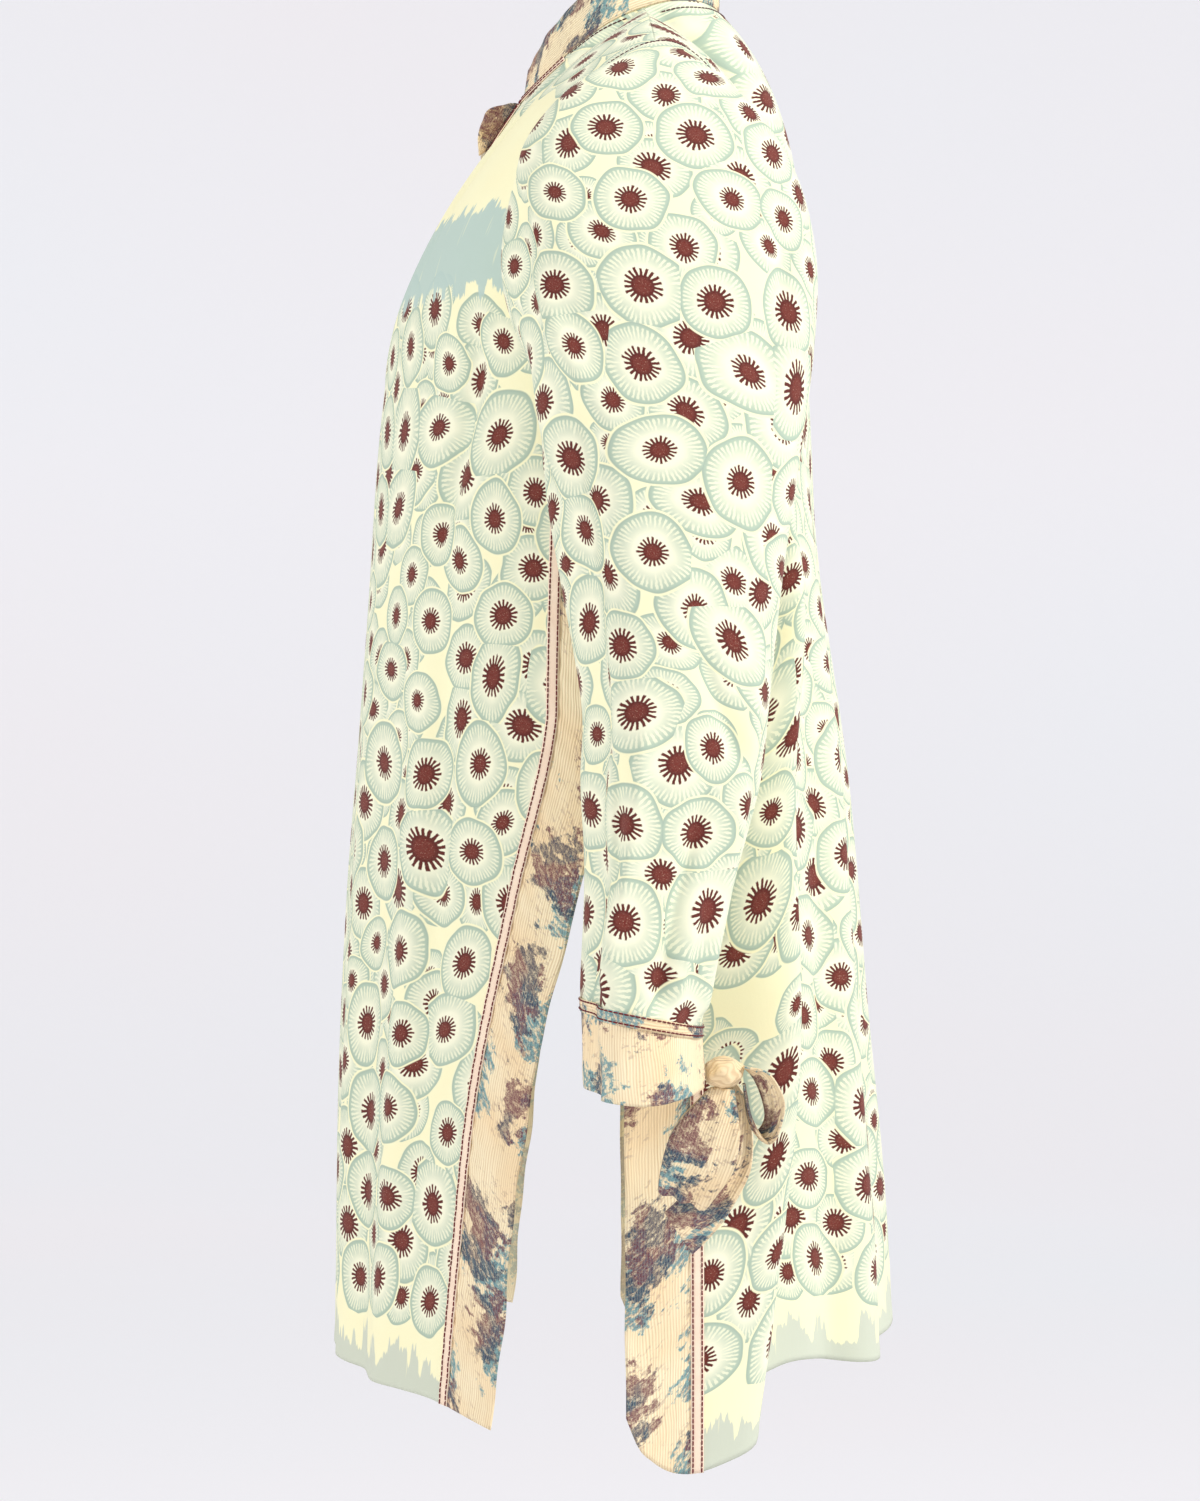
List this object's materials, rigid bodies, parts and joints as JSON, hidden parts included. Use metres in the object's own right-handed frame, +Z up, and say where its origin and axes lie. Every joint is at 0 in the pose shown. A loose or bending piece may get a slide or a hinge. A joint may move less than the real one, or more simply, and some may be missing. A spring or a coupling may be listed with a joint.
{
  "type": "tunic",
  "caption": "Thin long-sleeved A-line tunic with a stand collar, open front neck, side slits with contrast strips and tied cuffs, as worn.",
  "frame": {"origin": "centre of the neck's base, where the wearer's neck and shoulders hold the garment", "axes": "+Z up, the front faces -Y, the wearer's left is +X"},
  "size_m": [0.627, 0.32, 0.8382],
  "materials": {
    "flowered_voile": "thin printed voile, pale sage flowers with dark red centres on cream yellow",
    "mottled_crepe": "crinkled crepe, mottled teal, plum and slate on cream",
    "cream_tape": "plain narrow tape, pinkish cream"
  },
  "bodies": {
    "root": {"front_panel": "flowered_voile", "back_panel": "flowered_voile", "sleeve_left": "flowered_voile", "sleeve_right": "flowered_voile", "side_strip_front_left": "mottled_crepe", "side_strip_front_right": "mottled_crepe", "side_strip_back_left": "mottled_crepe", "side_strip_back_right": "mottled_crepe", "collar": "mottled_crepe", "cuff_left": "mottled_crepe", "cuff_right": "mottled_crepe", "neck_facing_left": "mottled_crepe", "neck_facing_right": "mottled_crepe", "tie_knot_left": "mottled_crepe", "tie_knot_right": "mottled_crepe", "tie_loop_broad_left": "mottled_crepe", "tie_loop_broad_right": "mottled_crepe", "tie_loop_small_left": "mottled_crepe", "tie_loop_small_right": "mottled_crepe", "tie_tail_left": "mottled_crepe", "tie_tail_right": "mottled_crepe", "strip_tape_front_left": "cream_tape", "strip_tape_front_right": "cream_tape", "strip_tape_back_left": "cream_tape", "strip_tape_back_right": "cream_tape", "cuff_tape_left": "cream_tape", "cuff_tape_right": "cream_tape", "opening_tape_left": "cream_tape", "opening_tape_right": "cream_tape"}
  },
  "joints": []
}
